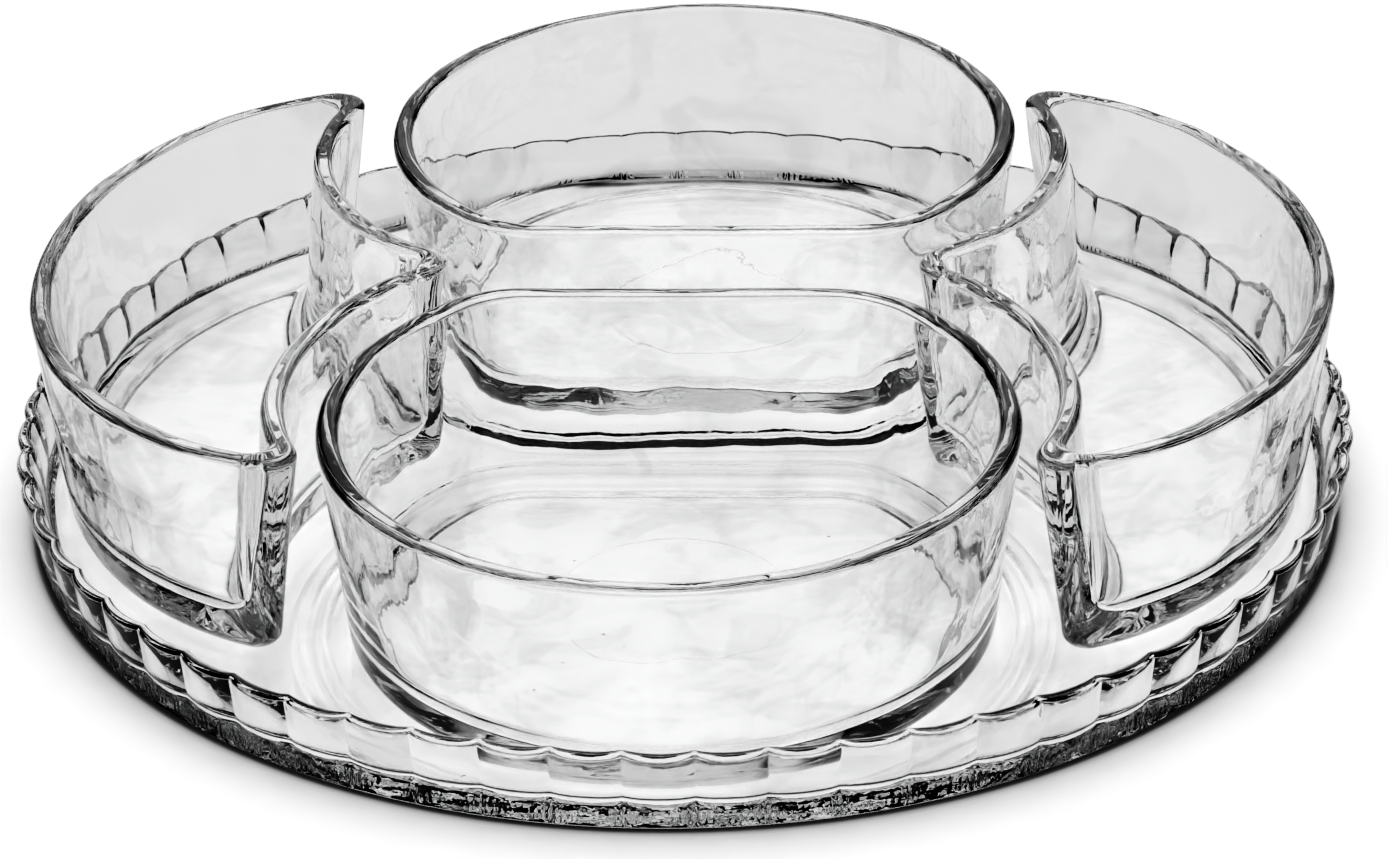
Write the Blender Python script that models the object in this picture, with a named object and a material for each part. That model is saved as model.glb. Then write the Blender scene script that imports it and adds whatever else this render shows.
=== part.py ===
# Chip and dip server in clear pressed glass: a round tray with a lobed wall,
# and four loose bowls that stand in it. Metres, +Z up, base on z = 0.
# +X runs to the right-hand side bowl and -Y to the front dip bowl.
from math import atan2, cos, hypot, pi, radians, sin, sqrt

import bmesh
import bpy

MM = 0.001

# Tray
FLOOR_TOP = 5.5 * MM
LOBES = 64
STEPS_PER_LOBE = 3  # one point in the notch and two on the crest
# Outside of the tray from the table up: radius in a notch, radius on a crest, height.
# A smooth base band, then lobes that swell to the rim and round over into it.
TRAY_OUTSIDE = [
    (160.7, 160.7, 0.0),
    (161.5, 161.5, 0.8),
    (161.8, 161.8, 6.3),
    (161.9, 163.3, 8.3),
    (162.1, 164.4, 12.0),
    (162.6, 165.0, 17.0),
    (162.6, 164.7, 19.2),
    (162.2, 163.6, 20.3),
]
# Inside of the tray from the rim down: radius, height
TRAY_INSIDE = [
    (162.0, 20.6),
    (160.9, 20.1),
    (160.2, 18.4),
    (157.2, 8.6),
    (155.4, 6.3),
    (152.4, 5.5),
]

# Seat ridges on the tray floor, one round each dip bowl
# Section of a ridge: how far in from the bowl's rim outline, height over the floor
RIDGE_SECTION = [
    (0.8, -1.0),
    (0.8, 0.0),
    (-1.6, 1.9),
    (-4.6, 2.6),
    (-7.6, 1.9),
    (-10.0, 0.0),
    (-10.0, -1.0),
]
RIDGE_REACH = 157.0 * MM  # the ridges end in the tray wall

# Dip bowls: a circle cut by a straight side that faces the tray's centre
DIP_RADIUS = 80.7 * MM
DIP_CENTRE = 80.3 * MM  # from the tray's centre to the circle's centre
DIP_FLAT = 15.0 * MM  # from the tray's centre to the straight side
DIP_CORNER = 31.0 * MM
BACK_BOWL_SHIFT = 3.0 * MM  # the back bowl stands a little off centre in its seat

# Side bowls: an elliptical outer wall and two hollow arcs that meet in a nose
SIDE_CENTRE = 73.0 * MM
SIDE_HALF_WIDTH = 85.5 * MM
SIDE_HALF_LENGTH = 106.5 * MM
HOLLOW_X = 15.0 * MM
HOLLOW_Y = 66.8 * MM
HOLLOW_RADIUS = 75.8 * MM
TIP_RADIUS = 7.0 * MM
NOSE_RADIUS = 9.0 * MM
SIDE_TURN = radians(1.0)  # each side bowl stands turned a degree towards the front

# Section shared by the bowls: how far in from the rim outline, and the height
SEAT_GAP = 0.3 * MM
BOWL_OUTSIDE = [
    (9.2, 5.8),
    (6.6, 7.2),
    (4.9, 11.0),
    (0.0, 57.4),
    (0.7, 59.4),
    (2.4, 60.2),
]
BOWL_INSIDE = [(4.5, 59.5), (5.3, 57.0)]
WALL_FOOT_INSET = 8.9  # where the inner wall meets the fillet of the floor
FLOOR_FILLET = [(0.0, 7.0), (1.8, 2.6), (4.4, 0.6), (8.0, 0.0)]  # on inwards, above the floor
DIP_FLOOR = 11.5
SIDE_FLOOR = 12.8


def clear_scene():
    for thing in list(bpy.data.objects):
        bpy.data.objects.remove(thing, do_unlink=True)


def clear_glass(name, colour):
    material = bpy.data.materials.new(name)
    material.use_nodes = True
    shader = material.node_tree.nodes["Principled BSDF"]
    shader.inputs["Base Color"].default_value = (*colour, 1.0)
    shader.inputs["Roughness"].default_value = 0.02
    shader.inputs["IOR"].default_value = 1.52
    shader.inputs["Transmission Weight"].default_value = 1.0
    return material


def arc(centre_x, centre_y, radius, start, end, steps):
    """Points along an arc, its first and last points included."""
    turns = [start + (end - start) * i / steps for i in range(steps + 1)]
    return [(centre_x + radius * cos(t), centre_y + radius * sin(t)) for t in turns]


def dip_outline(inset):
    """The front dip bowl's outline, that far in from its rim, in the tray's frame."""
    radius = DIP_RADIUS - inset
    corner = DIP_CORNER - inset
    flat = -DIP_FLAT - inset
    corner_y = flat - corner
    corner_x = sqrt((radius - corner) ** 2 - (corner_y + DIP_CENTRE) ** 2)
    turn = atan2(corner_y + DIP_CENTRE, corner_x)
    wall = arc(0.0, -DIP_CENTRE, radius, pi - turn, 2 * pi + turn, 34)
    right = arc(corner_x, corner_y, corner, turn, pi / 2, 5)
    left = arc(-corner_x, corner_y, corner, pi / 2, pi - turn, 5)
    return wall + right[1:] + left[:-1]


def bisect(wanted, low, high):
    """Where wanted() crosses zero between low and high, positive at low."""
    for _ in range(50):
        middle = (low + high) / 2
        if wanted(middle) > 0:
            low = middle
        else:
            high = middle
    return low


def side_outline(inset):
    """The left side bowl's outline, that far in from its rim, in the tray's frame."""
    half_width = SIDE_HALF_WIDTH - inset
    half_length = SIDE_HALF_LENGTH - inset
    hollow = HOLLOW_RADIUS + inset
    tip = max(TIP_RADIUS - 0.5 * inset, 2.5 * MM)
    nose = max(NOSE_RADIUS - 0.6 * inset, 2.5 * MM)

    def on_wall(turn):
        out_x, out_y = -cos(turn) / half_width, -sin(turn) / half_length
        length = hypot(out_x, out_y)
        x = -SIDE_CENTRE - half_width * cos(turn)
        y = -half_length * sin(turn)
        return x, y, out_x / length, out_y / length

    def tip_gap(turn):
        x, y, out_x, out_y = on_wall(turn)
        across = hypot(x - tip * out_x + HOLLOW_X, y - tip * out_y + HOLLOW_Y)
        return across - hollow - tip

    end = bisect(tip_gap, 0.6, 2.3)
    x, y, out_x, out_y = on_wall(end)
    tip_x, tip_y = x - tip * out_x, y - tip * out_y
    half = [on_wall(end * i / 13)[:2] for i in range(14)]
    start = atan2(out_y, out_x)
    stop = atan2(-HOLLOW_Y - tip_y, -HOLLOW_X - tip_x)
    half += arc(tip_x, tip_y, tip, start, stop, 5)[1:]
    nose_x = -HOLLOW_X - sqrt((hollow + nose) ** 2 - HOLLOW_Y**2)
    start = atan2(tip_y + HOLLOW_Y, tip_x + HOLLOW_X) % (2 * pi)
    stop = atan2(HOLLOW_Y, nose_x + HOLLOW_X)
    half += arc(-HOLLOW_X, -HOLLOW_Y, hollow, start, stop, 11)[1:]
    start = atan2(-HOLLOW_Y, -HOLLOW_X - nose_x)
    half += arc(nose_x, 0.0, nose, start, 0.0, 3)[1:]
    return half + [(x, -y) for x, y in half[-2:0:-1]]


def stack(rings):
    """A closed solid through rings of points, the first and the last of them filled in."""
    bm = bmesh.new()
    made = [[bm.verts.new(point) for point in ring] for ring in rings]
    for lower, upper in zip(made, made[1:]):
        for i in range(len(lower)):
            j = (i + 1) % len(lower)
            bm.faces.new((lower[i], lower[j], upper[j], upper[i]))
    bm.faces.new(made[0])
    bm.faces.new(made[-1])
    bmesh.ops.recalc_face_normals(bm, faces=bm.faces)
    return bm


def add_object(name, bm, material=None, origin=(0.0, 0.0, 0.0)):
    """The mesh as an object whose own origin is at that point of the tray's frame."""
    bmesh.ops.translate(bm, verts=bm.verts, vec=[-value for value in origin])
    mesh = bpy.data.meshes.new(name)
    bm.to_mesh(mesh)
    bm.free()
    if material:
        mesh.materials.append(material)
    made = bpy.data.objects.new(name, mesh)
    made.location = origin
    bpy.context.scene.collection.objects.link(made)
    return made


def add_helper(name, bm):
    helper = add_object(name, bm)
    helper.hide_render = True
    helper.display_type = "WIRE"
    return helper


def combine(target, other, operation):
    modifier = target.modifiers.new(other.name, "BOOLEAN")
    modifier.operation = operation
    modifier.solver = "EXACT"
    modifier.object = other


def lobed_ring(notch, crest, height):
    """One ring of the tray wall: sharp notches with flat-topped lobes between them."""
    count = LOBES * STEPS_PER_LOBE
    ring = []
    for i in range(count):
        turn = 2 * pi * i / count - pi / 2 + pi / LOBES
        radius = (notch if i % STEPS_PER_LOBE == 0 else crest) * MM
        ring.append((radius * cos(turn), radius * sin(turn), height * MM))
    return ring


def seat_ridge(side):
    """A low rounded ridge round one dip bowl's seat, sunk 1 mm into the tray floor."""
    loops = []
    for inset, height in RIDGE_SECTION:
        z = FLOOR_TOP + height * MM
        loops.append([(side * x, side * y, z) for x, y in dip_outline(inset * MM)])
    bm = bmesh.new()
    made = [[bm.verts.new(point) for point in loop] for loop in loops]
    for k in range(len(made)):
        inner, outer = made[k], made[(k + 1) % len(made)]
        for i in range(len(inner)):
            j = (i + 1) % len(inner)
            bm.faces.new((inner[i], inner[j], outer[j], outer[i]))
    bmesh.ops.recalc_face_normals(bm, faces=bm.faces)
    return bm


def reach_disc():
    """The room inside the tray wall, which the ridges are trimmed to."""
    count = 96
    rings = []
    for height in (-3.0 * MM, 30.0 * MM):
        turns = [2 * pi * i / count for i in range(count)]
        rings.append([(RIDGE_REACH * cos(t), RIDGE_REACH * sin(t), height) for t in turns])
    return stack(rings)


def make_tray(material):
    rings = [lobed_ring(notch, crest, height) for notch, crest, height in TRAY_OUTSIDE]
    rings += [lobed_ring(radius, radius, height) for radius, height in TRAY_INSIDE]
    tray = add_object("serving_tray", stack(rings), material)
    disc = add_helper("ridge_reach", reach_disc())
    for name, side in (("front_ridge", 1), ("back_ridge", -1)):
        ridge = add_helper(name, seat_ridge(side))
        combine(ridge, disc, "INTERSECT")
        combine(tray, ridge, "UNION")
    return tray


def bowl_rings(outline, floor):
    """Rings from the bowl's underside, over its rim and down to its floor."""
    section = BOWL_OUTSIDE + BOWL_INSIDE
    section += [(WALL_FOOT_INSET + inward, floor + above) for inward, above in FLOOR_FILLET]
    rings = []
    for inset, height in section:
        rings.append([(x, y, height * MM) for x, y in outline(inset * MM)])
    return rings


def turned(rings, turn):
    c, s = cos(turn), sin(turn)
    return [[(x * c - y * s, x * s + y * c, z) for x, y, z in ring] for ring in rings]


def mirrored(rings):
    return [[(-x, y, z) for x, y, z in ring] for ring in rings]


def make_dip_bowls(material):
    seat = FLOOR_TOP + SEAT_GAP
    rings = bowl_rings(dip_outline, DIP_FLOOR)
    add_object("front_dip_bowl", stack(rings), material, (0.0, -DIP_CENTRE, seat))
    back = add_object("back_dip_bowl", stack(turned(rings, pi)), material, (0.0, DIP_CENTRE, seat))
    back.location.x = BACK_BOWL_SHIFT


def make_side_bowls(material):
    seat = FLOOR_TOP + SEAT_GAP
    left = turned(bowl_rings(side_outline, SIDE_FLOOR), SIDE_TURN)
    middle = 115.0 * MM
    add_object("left_side_bowl", stack(left), material, (-middle, 0.0, seat))
    add_object("right_side_bowl", stack(mirrored(left)), material, (middle, 0.0, seat))


clear_scene()
make_tray(clear_glass("tray_glass", (0.93, 0.95, 0.94)))
make_dip_bowls(clear_glass("dip_bowl_glass", (0.94, 0.95, 0.95)))
make_side_bowls(clear_glass("side_bowl_glass", (0.94, 0.95, 0.94)))
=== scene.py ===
from math import atan2, cos, hypot, pi, radians, sin, sqrt, tan

import bmesh
import bpy
from mathutils import Matrix, Vector, noise


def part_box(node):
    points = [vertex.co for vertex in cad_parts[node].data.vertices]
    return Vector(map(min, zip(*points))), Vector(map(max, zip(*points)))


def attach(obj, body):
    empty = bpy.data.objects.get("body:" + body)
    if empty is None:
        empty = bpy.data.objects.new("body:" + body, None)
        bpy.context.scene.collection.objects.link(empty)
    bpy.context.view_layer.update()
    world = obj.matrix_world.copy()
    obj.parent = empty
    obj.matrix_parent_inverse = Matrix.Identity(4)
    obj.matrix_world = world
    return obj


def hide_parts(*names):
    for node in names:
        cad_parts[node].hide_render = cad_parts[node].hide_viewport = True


# Chip and dip server in clear pressed glass. Shapes are worked out in millimetres and scaled at the end.
mm = 0.001
mergeGap = 0.0005
noiseStride = (37.1, -19.7, 53.3)  # so that no two pieces ripple alike
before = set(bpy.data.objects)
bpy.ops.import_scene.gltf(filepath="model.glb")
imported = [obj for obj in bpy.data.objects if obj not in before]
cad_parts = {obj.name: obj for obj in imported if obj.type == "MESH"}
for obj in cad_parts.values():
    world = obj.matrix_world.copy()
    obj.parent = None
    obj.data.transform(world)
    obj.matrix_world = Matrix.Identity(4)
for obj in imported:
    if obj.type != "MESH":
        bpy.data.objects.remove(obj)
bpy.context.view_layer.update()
print("frame loaded:", ", ".join(sorted(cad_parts)))


# A path through corners (across, up, radius), with each corner rounded
def roundedPath(corners, gap, cornerSteps):
    path = [Vector(corners[0][:2])]
    for before, here, after in zip(corners, corners[1:], corners[2:]):
        corner = Vector(here[:2])
        into = (corner - Vector(before[:2])).normalized()
        out = (Vector(after[:2]) - corner).normalized()
        turn = into.angle(out)
        start = corner - into * here[2] * tan(turn / 2)
        addRun(path, start, gap)
        centre = corner + (out - into).normalized() * here[2] / cos(turn / 2)
        way = 1 if into.cross(out) > 0 else -1
        for k in range(1, cornerSteps + 1):
            spun = Matrix.Rotation(way * turn * k / cornerSteps, 2) @ (start - centre)
            path.append(centre + spun)
    addRun(path, Vector(corners[-1][:2]), gap)
    return path


# Straight on from the end of a path, in steps no longer than the gap
def addRun(path, end, gap):
    start = path[-1].copy()
    steps = max(1, round((end - start).length / gap))
    path.extend(start.lerp(end, k / steps) for k in range(1, steps + 1))


def arcPoints(centreX, centreY, radius, start, end, steps):
    turns = [start + (end - start) * k / steps for k in range(steps)]
    return [Vector((centreX + radius * cos(t), centreY + radius * sin(t))) for t in turns]


def atHeight(ring, height):
    return [Vector((point.x, point.y, height)) for point in ring]


# A grid rolled into a tube: one row of the grid for each ring of points
def rollSheet(rings):
    around, last = len(rings[0]), len(rings) - 1
    bm = bmesh.new()
    bmesh.ops.create_grid(bm, x_segments=around, y_segments=last, size=1)
    for v in bm.verts:
        column = round((v.co.x + 1) / 2 * around) % around
        row = round((v.co.y + 1) / 2 * last)
        v.co = rings[row][column]
    bmesh.ops.remove_doubles(bm, verts=bm.verts, dist=mergeGap)
    gaps = [edge for edge in bm.edges if edge.is_boundary]
    if gaps:
        bmesh.ops.holes_fill(bm, edges=gaps, sides=0)
    bmesh.ops.recalc_face_normals(bm, faces=bm.faces)
    return bm


# The uneven thickness of pressed glass: each surface swells and sinks along its own normal
def ripple(bm, glass, keep):
    bm.normal_update()
    shift = Vector([glass["seed"] * stride for stride in noiseStride])
    moves = []
    for v in bm.verts:
        amount = 0.0
        for size, depth in glass["ripples"]:
            amount += depth * noise.noise((v.co + shift) / size)
        moves.append(v.normal * amount * keep(v.co))
    for v, move in zip(bm.verts, moves):
        v.co += move


def finishPiece(name, bm, body, node, material):
    bmesh.ops.scale(bm, verts=bm.verts, vec=(mm, mm, mm))
    for face in bm.faces:
        face.smooth = True
    mesh = bpy.data.meshes.new(name)
    bm.to_mesh(mesh)
    bm.free()
    mesh.materials.append(material)
    piece = bpy.data.objects.new(name, mesh)
    bpy.context.scene.collection.objects.link(piece)
    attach(piece, body)
    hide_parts(node)
    print(name, "made:", len(mesh.polygons), "faces")
    return piece


def addNode(tree, kind, **inputs):
    node = tree.nodes.new(kind)
    for key, value in inputs.items():
        node.inputs[key].default_value = value
    return node


def mapRange(tree, value, fromLow, fromHigh, toLow, toHigh):
    node = tree.nodes.new("ShaderNodeMapRange")
    tree.links.new(value, node.inputs["Value"])
    ends = {"From Min": fromLow, "From Max": fromHigh, "To Min": toLow, "To Max": toHigh}
    for key, number in ends.items():
        node.inputs[key].default_value = number
    return node.outputs["Result"]


# Clear glass with soft swirls of painted shade in its colour, chill ripples, sparse seeds and slightly rough
# patches
def pressedGlass(name, look):
    material = bpy.data.materials.new(name)
    material.use_nodes = True
    tree = material.node_tree
    links = tree.links
    shader = tree.nodes["Principled BSDF"]
    shader.inputs["IOR"].default_value = look["ior"]
    shader.inputs["Transmission Weight"].default_value = 1.0
    place = tree.nodes.new("ShaderNodeTexCoord").outputs["Object"]

    # painted shade: darker swirls in the glass colour stand in for the patches that refraction through
    # uneven pressed glass makes
    tone = addNode(tree, "ShaderNodeTexNoise", Scale=look["toneScale"], Detail=2.0, Distortion=look["swirl"])
    links.new(place, tone.inputs["Vector"])
    paintedSwirls = tree.nodes.new("ShaderNodeMix")
    paintedSwirls.data_type = "RGBA"
    paintedSwirls.inputs["A"].default_value = (*look["clearest"], 1)
    paintedSwirls.inputs["B"].default_value = (*look["swirlShade"], 1)
    links.new(mapRange(tree, tone.outputs["Fac"], *look["toneEdge"], 0, 1), paintedSwirls.inputs["Factor"])
    links.new(paintedSwirls.outputs["Result"], shader.inputs["Base Color"])

    marks = addNode(tree, "ShaderNodeTexNoise", Scale=look["markScale"], Detail=5.0)
    links.new(place, marks.inputs["Vector"])
    rough = mapRange(tree, marks.outputs["Fac"], *look["markEdge"], *look["roughness"])
    links.new(rough, shader.inputs["Roughness"])

    depth = tree.nodes.new("ShaderNodeVolumeAbsorption")
    depth.inputs["Color"].default_value = (*look["depthTint"], 1)
    depth.inputs["Density"].default_value = look["depth"]
    links.new(depth.outputs[0], tree.nodes["Material Output"].inputs["Volume"])

    bump = None
    for scale, detail, distance in look["bumps"]:
        wave = addNode(tree, "ShaderNodeTexNoise", Scale=scale, Detail=detail)
        links.new(place, wave.inputs["Vector"])
        bump = addBump(tree, wave.outputs["Fac"], distance, bump)
    seeds = addNode(tree, "ShaderNodeTexVoronoi", Scale=look["seedScale"], Randomness=1.0)
    links.new(place, seeds.inputs["Vector"])
    pits = mapRange(tree, seeds.outputs["Distance"], 0.0, look["seedSize"], 1, 0)
    bump = addBump(tree, pits, look["seedDepth"], bump)
    links.new(bump.outputs["Normal"], shader.inputs["Normal"])
    return material


def addBump(tree, height, distance, before):
    bump = addNode(tree, "ShaderNodeBump", Strength=1.0, Distance=distance)
    tree.links.new(height, bump.inputs["Height"])
    if before:
        tree.links.new(before.outputs["Normal"], bump.inputs["Normal"])
    return bump


glassLook = {
    "ior": 1.52,
    "clearest": (0.985, 0.986, 0.986),
    # painted shade of the swirls, darker than the clearest glass
    "swirlShade": (0.885, 0.887, 0.886),
    "depthTint": (0.36, 0.365, 0.362),
    "depth": 3.0,
    "toneScale": 28.0,
    "toneEdge": (0.54, 0.60),
    "swirl": 1.4,
    "markScale": 90.0,
    "markEdge": (0.45, 0.75),
    "roughness": (0.0, 0.012),
    "bumps": [(70.0, 2.0, 0.00010), (240.0, 2.0, 0.00002)],  # scale, detail, distance
    "seedScale": 45.0,
    "seedSize": 0.02,
    "seedDepth": 0.0002,
}
trayGlass = pressedGlass("trayGlass", glassLook)
dipGlass = pressedGlass("dipBowlGlass", {**glassLook, "toneScale": 34.0})
sideGlass = pressedGlass("sideBowlGlass", {**glassLook, "toneScale": 31.0})
print("glass mixed")


trayShape = {
    "lobes": 64,
    "lobeSteps": (0.0, 0.015, 0.05, 0.12, 0.24, 0.41, 0.59, 0.76, 0.88, 0.95, 0.985),
    "lobeDepth": 0.95,
    "rimFlare": 0.45,  # how much further they stand out at the rim
    "flareFrom": (13.5, 5.5),  # the height where that begins, and its rise
    "lobeEase": 2.718,  # about e, for a swell that dies away
    "lobeFoot": 6.2,  # height where the petals start
    "lobeSwell": 2.0,  # how quickly they swell above it
    "lobesInside": (11.0, 0.8),  # they fade out down the inner wall: to this height, from this share
    "lobeCorner": 3.6,  # how far their bottom corners curve up
    "lobeRound": 2.2,
    "under": (0.0, 12.0, 30.0, 55.0, 80.0, 105.0, 130.0, 148.0, 157.0),
    "wall": [
        (158.5, 0.0, 0.0),
        (161.4, 0.0, 0.5),
        (161.9, 6.2, 6.0),
        (163.6, 20.6, 1.1),
        (161.0, 20.6, 0.95),
        (158.2, 5.5, 4.0),
        (148.0, 5.5, 0.0),
    ],
    "rounding": (1.15, 6),  # longest step along the wall, steps round each corner
    "floorGap": 6.0,
    "floor": 5.5,
    "ridge": [  # outward of the bowl's rim outline, height over the floor
        (1.4, -0.18),
        (-0.9, 0.5),
        (-3.0, 0.15),
        (-6.3, 1.0),
        (-10.2, -0.18),
    ],
    "ridgeBuried": 0.18,
    "ridgeRoot": 1.0,  # how far down into the floor it is joined
    "ridgeReach": 160.2,
    "ridgeSteps": (8, 260),  # up or down each swell, along the ridge
    "crease": {"angle": 9.0, "low": 5.0, "high": 9.0, "reach": 158.0},
    "reeds": {
        "count": 640,
        "depth": 0.16,
        "cuts": 3,
        "low": 0.5,
        "high": 6.0,
        "fade": 0.6,
        "inside": 160.3,
        "level": 0.3,
    },
    "glass": {"seed": 1.0, "ripples": [(26.0, 0.18), (10.0, 0.06)]},
    "calm": {"over": 3.0, "below": 6.0, "share": 0.45},  # the underside is flat and the foot ripples less
}


def trayRipple(co):
    calm = trayShape["calm"]
    return min(1.0, max(0.0, co.z / calm["over"])) * (calm["share"] if co.z < calm["below"] else 1.0)


# Fine upright reeds round the foot of the tray, cut into a band with more columns
def reedFoot(bm, reeds):
    def inBand(v):
        return reeds["low"] < v.co.z < reeds["high"] and hypot(v.co.x, v.co.y) > reeds["inside"]

    def isLevel(edge):
        return abs(edge.verts[0].co.z - edge.verts[1].co.z) < reeds["level"]

    level = [e for e in bm.edges if all(inBand(v) for v in e.verts) and isLevel(e)]
    bmesh.ops.subdivide_edges(bm, edges=level, cuts=reeds["cuts"])
    for v in bm.verts:
        if inBand(v):
            turn = atan2(v.co.y, v.co.x)
            edge = min(v.co.z - reeds["low"], reeds["high"] - v.co.z)
            share = min(1.0, edge / reeds["fade"])
            grow = 1 + reeds["depth"] * share * cos(turn * reeds["count"]) / hypot(v.co.x, v.co.y)
            v.co.x *= grow
            v.co.y *= grow


# How far a petal stands out of the wall there
def lobeSwell(shape, step, height):
    side = abs(2 * step - 1)
    above = height - shape["lobeFoot"] - shape["lobeCorner"] * side ** 5
    if above <= 0:
        return 0.0
    swell = 1 - shape["lobeEase"] ** (-above / shape["lobeSwell"])
    low, rise = shape["flareFrom"]
    flare = shape["rimFlare"] * min(1.0, max(0.0, (height - low) / rise)) ** 2
    return (shape["lobeDepth"] + flare) * swell * (1 - side ** shape["lobeRound"])


def trayRings(shape):
    lobes, steps = shape["lobes"], shape["lobeSteps"]
    turns = [(lobe + step) / lobes for lobe in range(lobes) for step in steps]
    start = -0.25 + 0.5 / lobes  # the middle of a petal faces the front
    ways = [Vector((cos(2 * pi * (t + start)), sin(2 * pi * (t + start)))) for t in turns]
    path = [Vector((r, 0.0)) for r in shape["under"]]
    wall = roundedPath(shape["wall"], *shape["rounding"])
    path += wall
    radius = wall[-1].x
    while radius > shape["floorGap"]:
        radius -= shape["floorGap"]
        path.append(Vector((radius, shape["floor"])))
    path.append(Vector((0.0, shape["floor"])))
    rings = []
    top = max(range(len(path)), key=lambda k: path[k].y)
    low, most = shape["lobesInside"]
    for k, point in enumerate(path):
        share = 1.0 if k <= top else most * max(0.0, (point.y - low) / (path[top].y - low)) ** 2
        ring = []
        for i, way in enumerate(ways):
            swell = lobeSwell(shape, steps[i % len(steps)], point.y) * share
            spot = way * (point.x + swell)
            ring.append(Vector((spot.x, spot.y, point.y)))
        rings.append(ring)
    return rings


# The same number of points, evenly along an open run of points
def resample(points, count):
    lengths = [0.0]
    for a, b in zip(points, points[1:]):
        lengths.append(lengths[-1] + (b - a).length)
    even, k = [], 0
    for n in range(count):
        want = lengths[-1] * n / (count - 1)
        while k < len(points) - 2 and lengths[k + 1] < want:
            k += 1
        part = (want - lengths[k]) / (lengths[k + 1] - lengths[k])
        even.append(points[k].lerp(points[k + 1], part))
    return even


# The seat ridge: two soft swells that run from tray wall to tray wall round the dip bowl's straight side
def seatRidge(shape, side):
    floor, buried = shape["floor"], shape["ridgeBuried"]
    outer, inner = shape["ridge"][0][0], shape["ridge"][-1][0]
    root = floor - shape["ridgeRoot"]
    swellSteps, alongSteps = shape["ridgeSteps"]
    section = [(outer, root)]
    for (start, low), (end, high) in zip(shape["ridge"], shape["ridge"][1:]):
        for k in range(swellSteps):
            blend = 0.5 - 0.5 * cos(pi * k / swellSteps)
            section.append((start + (end - start) * k / swellSteps, floor + low + (high - low) * blend))
    section += [(inner, floor - buried), (inner, root)]
    lines = []
    for inset, up in section:
        ring = [Vector((p.x, p.y + seatCentre)) for p in dipOutline(inset)]
        first = min(range(len(ring)), key=lambda n: ring[n].y)
        ring = ring[first:] + ring[:first]
        inside = [p for p in ring if p.length < shape["ridgeReach"]]
        lines.append([Vector((side * p.x, side * p.y, up)) for p in resample(inside, alongSteps)])
    return rollSheet([list(station) for station in zip(*lines)])


dipShape = {
    "radius": 80.7,
    "flat": 65.3,  # from the circle's centre to the straight side
    "corner": 31.0,
    "steps": (208, 16, 40),  # round wall, each corner, straight side
    "section": [  # in from the rim outline, height over the seat, rounding
        (16.5, 0.9, 0.0),
        (14.0, 0.9, 0.8),
        (12.6, 0.0, 0.8),
        (5.4, 0.0, 5.2),
        (-0.25, 54.4, 1.8),
        (5.0, 54.4, 2.0),
        (9.7, 5.7, 7.6),
        (19.0, 5.7, 0.0),
    ],
    "ringCentre": 3.3,  # mould ring pressed in the underside
    "ringRadius": 27.0,
    "ringSection": [  # out from the ring, depth
        (-1.0, 0.0),
        (-0.6, 0.0),
        (-0.3, 0.035),
        (0.0, 0.05),
        (0.3, 0.035),
        (0.6, 0.0),
        (1.0, 0.0),
    ],
    "underSteps": (0.0, 4.0, 10.0, 17.0, 23.0),
    "underOuter": (3.0, 7),  # out from the ring, steps from there to the foot
    "floorEye": (4.0, 16),  # radius at the middle, steps from there to the wall
    "rounding": (1.6, 9),
    "glass": {"ripples": [(24.0, 0.28), (9.0, 0.10)]},
}
seatCentre = -80.3
bowlCalm = {"least": 0.12, "from": 2.0, "over": 6.0}  # bowls stand level, so their feet hardly ripple


def bowlRipple(co):
    return min(1.0, max(bowlCalm["least"], (co.z - bowlCalm["from"]) / bowlCalm["over"]))


def dipOutline(inset):
    radius = dipShape["radius"] - inset
    corner = dipShape["corner"] - inset
    flat = dipShape["flat"] - inset
    wallSteps, cornerSteps, flatSteps = dipShape["steps"]
    cornerY = flat - corner
    cornerX = sqrt((radius - corner) ** 2 - cornerY ** 2)
    turn = atan2(cornerY, cornerX)
    ring = arcPoints(0, 0, radius, pi - turn, 2 * pi + turn, wallSteps)
    ring += arcPoints(cornerX, cornerY, corner, turn, pi / 2, cornerSteps)
    right = Vector((cornerX, flat))
    ring += [right.lerp(Vector((-cornerX, flat)), k / flatSteps) for k in range(flatSteps)]
    ring += arcPoints(-cornerX, cornerY, corner, pi / 2, pi - turn, cornerSteps)
    return ring


# Rings that run from a circle out to the outline, all at one height
def circleToOutline(outline, centre, radius, height, steps):
    rings = []
    for k in range(steps):
        ring = []
        for point in outline:
            way = (point - centre).normalized()
            ring.append((centre + way * radius).lerp(point, k / steps))
        rings.append(atHeight(ring, height))
    return rings


def circleRing(outline, centre, radius, height):
    return atHeight([centre + (p - centre).normalized() * radius for p in outline], height)


def dipRings(shape, rimHeight):
    section = roundedPath(shape["section"], *shape["rounding"])
    stretch = rimHeight / max(p.y for p in section)
    first, last = section[0], section[-1]
    centre = Vector((0.0, shape["ringCentre"]))
    under, inside = dipOutline(first.x), dipOutline(last.x)
    mould = shape["ringRadius"]
    rings = [circleRing(under, centre, r, first.y) for r in shape["underSteps"]]
    for out, deep in shape["ringSection"]:
        rings.append(circleRing(under, centre, mould + out, first.y + deep))
    clear, steps = shape["underOuter"]
    rings += circleToOutline(under, centre, mould + clear, first.y, steps)
    rings += [atHeight(dipOutline(p.x), p.y * stretch) for p in section]
    eye, steps = shape["floorEye"]
    rings += circleToOutline(inside, centre, eye, last.y * stretch, steps)[::-1]
    rings.append(circleRing(inside, centre, 0.0, last.y * stretch))
    return rings


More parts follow.
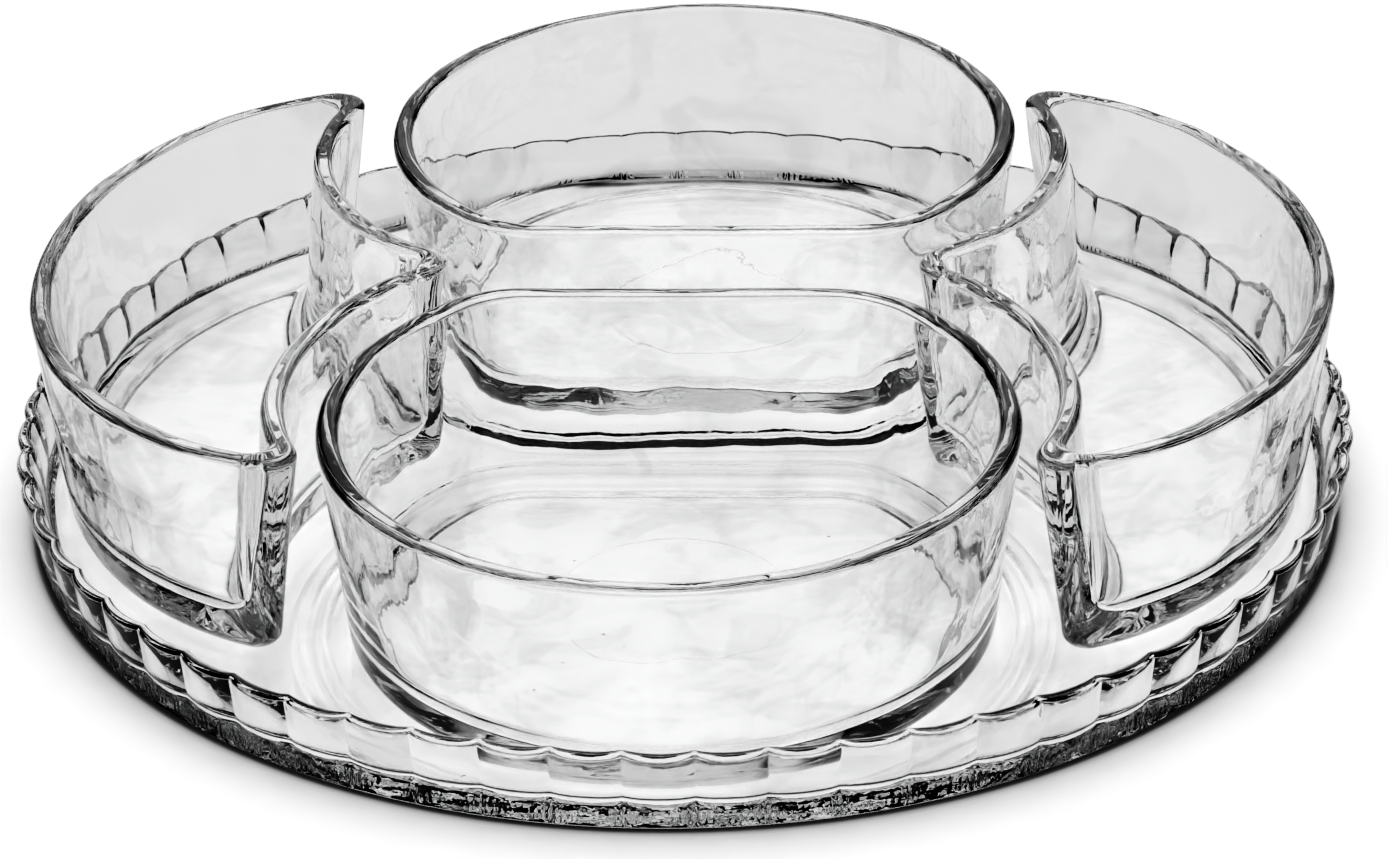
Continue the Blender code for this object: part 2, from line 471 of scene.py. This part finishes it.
sideShape = {
    "centre": -73.0,
    "halfWidth": 85.5,
    "halfLength": 106.5,
    "hollow": (-15.0, -66.8, 75.8),
    "tip": 7.0,
    "nose": 9.0,
    "turn": 1.0,  # degrees towards the front
    "tighten": (0.5, 0.6),  # how fast the tip and the nose get smaller inwards
    "tightest": 2.5,
    "tipSearch": (0.6, 2.3),
    "spine": {"middle": -121.0, "half": 58.0, "gather": 0.72, "bow": 0.0024},
    "spineSteps": (6, 10),  # underneath, on the floor
    "spineReach": 0.9,
    "rounding": (1.6, 9),
    "steps": (88, 14, 56, 10),  # outer wall, tip, hollow, nose
    "section": [
        (16.0, 0.8, 0.0),
        (14.0, 0.8, 0.8),
        (12.8, 0.0, 0.8),
        (5.4, 0.0, 5.2),
        (-0.25, 54.4, 1.8),
        (5.0, 54.4, 2.0),
        (9.7, 7.0, 7.6),
        (18.5, 7.0, 0.0),
    ],
    "glass": {"ripples": [(22.0, 0.32), (9.0, 0.12)]},
}


def bisect(wanted, low, high):
    for _ in range(50):
        middle = (low + high) / 2
        if wanted(middle) > 0:
            low = middle
        else:
            high = middle
    return low


# The left side bowl's outline: an elliptical wall, a rounded tip, a hollow arc and half the nose,
# then the same again mirrored
def sideOutline(inset):
    shape = sideShape
    halfWidth, halfLength = shape["halfWidth"] - inset, shape["halfLength"] - inset
    hollowX, hollowY, hollow = shape["hollow"]
    hollow += inset
    tipLoss, noseLoss = shape["tighten"]
    tip = max(shape["tip"] - tipLoss * inset, shape["tightest"])
    nose = max(shape["nose"] - noseLoss * inset, shape["tightest"])

    def onWall(turn):
        out = Vector((-cos(turn) / halfWidth, -sin(turn) / halfLength)).normalized()
        return Vector((shape["centre"] - halfWidth * cos(turn), -halfLength * sin(turn))), out

    def tipGap(turn):
        spot, out = onWall(turn)
        return (spot - out * tip - Vector((hollowX, hollowY))).length - hollow - tip

    wallSteps, tipSteps, hollowSteps, noseSteps = shape["steps"]
    end = bisect(tipGap, *shape["tipSearch"])
    spot, out = onWall(end)
    middle = spot - out * tip
    half = [onWall(end * k / wallSteps)[0] for k in range(wallSteps)]
    start, stop = atan2(out.y, out.x), atan2(hollowY - middle.y, hollowX - middle.x)
    half += arcPoints(middle.x, middle.y, tip, start, stop, tipSteps)
    noseX = hollowX - sqrt((hollow + nose) ** 2 - hollowY ** 2)
    start = atan2(middle.y - hollowY, middle.x - hollowX) % (2 * pi)
    stop = atan2(-hollowY, noseX - hollowX)
    half += arcPoints(hollowX, hollowY, hollow, start, stop, hollowSteps)
    start = atan2(hollowY, hollowX - noseX)
    half += arcPoints(noseX, 0.0, nose, start, 0.0, noseSteps)
    half.append(Vector((noseX + nose, 0.0)))
    return half + [Vector((p.x, -p.y)) for p in half[-2:0:-1]]


# Rings that close in on the line along the middle of the bowl
def towardsSpine(outline, height, steps):
    spine, reach = sideShape["spine"], sideShape["spineReach"]
    rings = []
    for k in range(1, steps + 1):
        ring = []
        for point in outline:
            along = max(-spine["half"], min(spine["half"], point.y * spine["gather"]))
            onSpine = Vector((spine["middle"] + spine["bow"] * along * along, along))
            ring.append(point.lerp(onSpine, reach * k / steps))
        rings.append(atHeight(ring, height))
    return rings


def sideRings(shape, rimHeight):
    section = roundedPath(shape["section"], *shape["rounding"])
    stretch = rimHeight / max(p.y for p in section)
    first, last = section[0], section[-1]
    underSteps, floorSteps = shape["spineSteps"]
    rings = towardsSpine(sideOutline(first.x), first.y, underSteps)[::-1]
    rings += [atHeight(sideOutline(p.x), p.y * stretch) for p in section]
    rings += towardsSpine(sideOutline(last.x), last.y * stretch, floorSteps)
    return rings


def makeTray():
    bm = rollSheet(trayRings(trayShape))
    ripple(bm, trayShape["glass"], trayRipple)
    reedFoot(bm, trayShape["reeds"])
    joined = uniteGlass(bm, [seatRidge(trayShape, side) for side in (1, -1)])
    return finishPiece("servingTray", joined, "tray", "serving_tray", trayGlass)


def looseObject(name, bm):
    mesh = bpy.data.meshes.new(name)
    bm.to_mesh(mesh)
    bm.free()
    made = bpy.data.objects.new(name, mesh)
    bpy.context.scene.collection.objects.link(made)
    return made


# The ridges are joined to the tray, and the edge where they meet its floor is kept crisp
def uniteGlass(bm, ridges):
    target = looseObject("trayBlank", bm)
    others = [looseObject("ridge", ridge) for ridge in ridges]
    for other in others:
        joint = target.modifiers.new(other.name, "BOOLEAN")
        joint.operation = "UNION"
        joint.solver = "EXACT"
        joint.object = other
    graph = bpy.context.evaluated_depsgraph_get()
    joined = bmesh.new()
    joined.from_mesh(target.evaluated_get(graph).to_mesh())
    for thing in [target] + others:
        bpy.data.objects.remove(thing)
    crease = trayShape["crease"]
    bent = [e for e in joined.edges if e.is_manifold and e.calc_face_angle() > radians(crease["angle"])]
    for edge in bent:
        middle = (edge.verts[0].co + edge.verts[1].co) / 2
        onFloor = crease["low"] < middle.z < crease["high"]
        if onFloor and hypot(middle.x, middle.y) < crease["reach"]:
            edge.smooth = False
    return joined


def makeDipBowl(name, node, body, turnHalf, seed):
    low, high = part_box(node)
    bm = rollSheet(dipRings(dipShape, (high.z - low.z) / mm))
    ripple(bm, {**dipShape["glass"], "seed": seed}, bowlRipple)
    if turnHalf:
        bmesh.ops.rotate(bm, verts=bm.verts, matrix=Matrix.Rotation(pi, 3, "Z"))
    away = (high.y / mm - dipShape["radius"]) if turnHalf else (low.y / mm + dipShape["radius"])
    bmesh.ops.translate(bm, verts=bm.verts, vec=((low.x + high.x) / 2 / mm, away, low.z / mm))
    return finishPiece(name, bm, body, node, dipGlass)


def makeSideBowl(name, node, body, mirrored, seed):
    low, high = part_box(node)
    bm = rollSheet(sideRings(sideShape, (high.z - low.z) / mm))
    ripple(bm, {**sideShape["glass"], "seed": seed}, bowlRipple)
    bmesh.ops.rotate(bm, verts=bm.verts, matrix=Matrix.Rotation(radians(sideShape["turn"]), 3, "Z"))
    if mirrored:
        bmesh.ops.scale(bm, verts=bm.verts, vec=(-1, 1, 1))
        bmesh.ops.recalc_face_normals(bm, faces=bm.faces)
    bmesh.ops.translate(bm, verts=bm.verts, vec=(0, 0, low.z / mm))
    return finishPiece(name, bm, body, node, sideGlass)


makeTray()
makeDipBowl("frontDipBowl", "front_dip_bowl", "front_dip", False, 2.0)
makeDipBowl("backDipBowl", "back_dip_bowl", "back_dip", True, 3.0)
makeSideBowl("leftSideBowl", "left_side_bowl", "left_side", False, 4.0)
makeSideBowl("rightSideBowl", "right_side_bowl", "right_side", True, 5.0)


studio = {
    "floorSize": 8.0,
    "floorDrop": 0.0002,  # keeps it clear of the tray
    "floorTone": 0.97,
    "floorCloud": (3.0, 0.3, 0.7, 0.01),  # size, low, high and depth of its faint unevenness
    "floorRough": 0.7,
    "floorShine": 0.1,
    "tableTone": 0.745,  # as the glass sees it
    "tableMiddle": 0.12,
    "tableReach": (0.30, 0.42),  # half width and half depth of the painted pool of light on the table round the object
    "floorFade": (1.0, 1.5),  # where it darkens, as a share of that
    "floorShade": 0.01,
    "contact": [  # painted contact shadow: how bright the table is at each distance from the tray's middle
        (0.0, 1.0),
        (0.1575, 1.0),
        (0.1595, 0.05),
        (0.1611, 0.10),
        (0.1624, 0.45),
        (0.1660, 0.73),
        (0.1720, 0.91),
        (0.1820, 1.0),
    ],
    "contactStretch": (0.995, 1.0, 1.0),
    "contactMiddle": -0.0008,
    "boxElevation": 86.0,  # a soft box overhead
    "boxSpread": (0.93, 0.86),
    "boxLight": 1.3,
    "tableGlow": 0.77,  # the table is lit from below as well
    "backLight": 1.0,
    "backEdge": (0.965, 0.90),  # how narrow the bright backdrop is
    "backTop": (0.62, 0.74),
    # the finished picture's contrast
    "contrast": [(0.05, 0.003), (0.10, 0.016), (0.19, 0.09), (0.36, 0.31), (0.55, 0.53), (0.8, 0.795)],
}


# The camera sees a pale floor all the way out; the glass sees a dimmer table with a painted pool of light
# round the object and dark beyond
def makeFloor():
    bm = bmesh.new()
    bmesh.ops.create_grid(bm, x_segments=4, y_segments=4, size=studio["floorSize"] / 2)
    bmesh.ops.translate(bm, verts=bm.verts, vec=(0, 0, -studio["floorDrop"]))
    mesh = bpy.data.meshes.new("floor")
    bm.to_mesh(mesh)
    bm.free()
    material = bpy.data.materials.new("paleSweep")
    material.use_nodes = True
    tree = material.node_tree
    shader = tree.nodes["Principled BSDF"]
    place = tree.nodes.new("ShaderNodeTexCoord").outputs["Object"]
    scale, low, high, depth = studio["floorCloud"]
    cloud = addNode(tree, "ShaderNodeTexNoise", Scale=scale, Detail=3.0)
    tree.links.new(place, cloud.inputs["Vector"])
    tone = studio["floorTone"]
    pale = mapRange(tree, cloud.outputs["Fac"], low, high, tone - depth, tone)
    spread = tree.nodes.new("ShaderNodeMapping")
    spread.inputs["Location"].default_value = (0, -studio["tableMiddle"] / studio["tableReach"][1], 0)
    spread.inputs["Scale"].default_value = [1 / side for side in studio["tableReach"]] + [1]
    tree.links.new(place, spread.inputs["Vector"])
    reach = tree.nodes.new("ShaderNodeVectorMath")
    reach.operation = "LENGTH"
    tree.links.new(spread.outputs[0], reach.inputs[0])
    # painted pool of light: as the glass sees it, the table's colour and glow fade from bright round the
    # object to dark farther out
    near, far = studio["floorFade"]
    fade = mapRange(tree, reach.outputs["Value"], near, far, studio["tableTone"], studio["floorShade"])
    seen = tree.nodes.new("ShaderNodeMix")
    tree.links.new(tree.nodes.new("ShaderNodeLightPath").outputs["Is Camera Ray"], seen.inputs["Factor"])
    tree.links.new(fade, seen.inputs["A"])
    tree.links.new(pale, seen.inputs["B"])
    table = tree.nodes.new("ShaderNodeMath")
    table.operation = "MULTIPLY"
    tree.links.new(seen.outputs["Result"], table.inputs[0])
    tree.links.new(contactShade(tree, place), table.inputs[1])
    tree.links.new(table.outputs[0], shader.inputs["Base Color"])
    tree.links.new(table.outputs[0], shader.inputs["Emission Color"])
    shader.inputs["Emission Strength"].default_value = studio["tableGlow"]
    shader.inputs["Roughness"].default_value = studio["floorRough"]
    shader.inputs["Specular IOR Level"].default_value = studio["floorShine"]
    mesh.materials.append(material)
    floor = bpy.data.objects.new("floor", mesh)
    bpy.context.scene.collection.objects.link(floor)


# Painted contact shadow: the table's colour and glow are darkened close round the foot of the tray
def contactShade(tree, place):
    shift = tree.nodes.new("ShaderNodeMapping")
    shift.inputs["Location"].default_value = (0, -studio["contactMiddle"], 0)
    shift.inputs["Scale"].default_value = studio["contactStretch"]
    tree.links.new(place, shift.inputs["Vector"])
    reach = tree.nodes.new("ShaderNodeVectorMath")
    reach.operation = "LENGTH"
    tree.links.new(shift.outputs[0], reach.inputs[0])
    curve = tree.nodes.new("ShaderNodeFloatCurve")
    span = studio["contact"][-1][0]
    tree.links.new(mapRange(tree, reach.outputs["Value"], 0, span, 0, 1), curve.inputs["Value"])
    points = curve.mapping.curves[0].points
    points[0].location = studio["contact"][0]
    points[1].location = (1.0, 1.0)
    for distance, share in studio["contact"][1:-1]:
        points.new(distance / span, share)
    curve.mapping.update()
    return curve.outputs["Value"]


# A dark dome with a soft box overhead and a narrow bright backdrop, so that the glass has dark outlines
def makeDome():
    world = bpy.data.worlds.new("studioDome")
    world.use_nodes = True
    bpy.context.scene.world = world
    tree = world.node_tree
    place = tree.nodes.new("ShaderNodeTexCoord").outputs["Generated"]
    split = tree.nodes.new("ShaderNodeSeparateXYZ")
    tree.links.new(place, split.inputs[0])
    toBox = tree.nodes.new("ShaderNodeVectorMath")
    toBox.operation = "DOT_PRODUCT"
    tree.links.new(place, toBox.inputs[0])
    lean = radians(studio["boxElevation"])
    toBox.inputs[1].default_value = (0, cos(lean), sin(lean))
    inner, outer = studio["boxSpread"]
    box = mapRange(tree, toBox.outputs["Value"], outer, inner, 0, studio["boxLight"])
    flat = tree.nodes.new("ShaderNodeVectorMath")
    flat.operation = "NORMALIZE"
    level = tree.nodes.new("ShaderNodeVectorMath")
    level.operation = "MULTIPLY"
    tree.links.new(place, level.inputs[0])
    level.inputs[1].default_value = (1, 1, 0)
    tree.links.new(level.outputs[0], flat.inputs[0])
    ahead = tree.nodes.new("ShaderNodeSeparateXYZ")
    tree.links.new(flat.outputs[0], ahead.inputs[0])
    inside, outside = studio["backEdge"]
    back = mapRange(tree, ahead.outputs["Y"], outside, inside, 0, studio["backLight"])
    low = mapRange(tree, split.outputs["Z"], *studio["backTop"], 1, 0)
    lowBack = tree.nodes.new("ShaderNodeMath")
    lowBack.operation = "MULTIPLY"
    tree.links.new(back, lowBack.inputs[0])
    tree.links.new(low, lowBack.inputs[1])
    brighter = tree.nodes.new("ShaderNodeMath")
    brighter.operation = "MAXIMUM"
    tree.links.new(box, brighter.inputs[0])
    tree.links.new(lowBack.outputs[0], brighter.inputs[1])
    seen = tree.nodes.new("ShaderNodeMix")
    tree.links.new(tree.nodes.new("ShaderNodeLightPath").outputs["Is Camera Ray"], seen.inputs["Factor"])
    tree.links.new(brighter.outputs[0], seen.inputs["A"])
    seen.inputs["B"].default_value = 1.0
    tree.links.new(seen.outputs["Result"], tree.nodes["Background"].inputs["Color"])


cameraView = {
    "elevation": 28.27,
    "swing": 2.44,
    "roll": -1.15,
    "distance": 1.1253,
    "lens": 116.35,
    "aim": (0.0021, 0.0054, 0.0098),
}


def makeCamera():
    view = cameraView
    swing = Matrix.Rotation(radians(view["swing"]), 3, "Z")
    up = radians(view["elevation"])
    back = swing @ Vector((0, -cos(up), sin(up)))
    side = swing @ Vector((1, 0, 0))
    top = back.cross(side)
    roll = radians(view["roll"])
    rolledSide = side * cos(roll) + top * sin(roll)
    rolledTop = top * cos(roll) - side * sin(roll)
    turned = Matrix((rolledSide, rolledTop, back)).transposed()
    camera = bpy.data.cameras.new("camera")
    camera.lens = view["lens"]
    camera.sensor_width = 36
    camera.clip_end = 50
    holder = bpy.data.objects.new("camera", camera)
    holder.matrix_world = Matrix.Translation(Vector(view["aim"]) + back * view["distance"]) @ turned.to_4x4()
    bpy.context.scene.collection.objects.link(holder)
    bpy.context.scene.camera = holder


makeFloor()
makeDome()
makeCamera()
scene = bpy.context.scene
scene.view_settings.view_transform = "Standard"
scene.view_settings.use_curve_mapping = True
contrast = scene.view_settings.curve_mapping.curves[3]
for shade, shown in studio["contrast"]:
    contrast.points.new(shade, shown)
scene.view_settings.curve_mapping.update()
scene.cycles.max_bounces = 28
scene.cycles.transmission_bounces = 28
scene.cycles.glossy_bounces = 16
scene.cycles.blur_glossy = 0.0
scene.cycles.diffuse_bounces = 4
scene.cycles.sample_clamp_indirect = 12
print("studio lit")
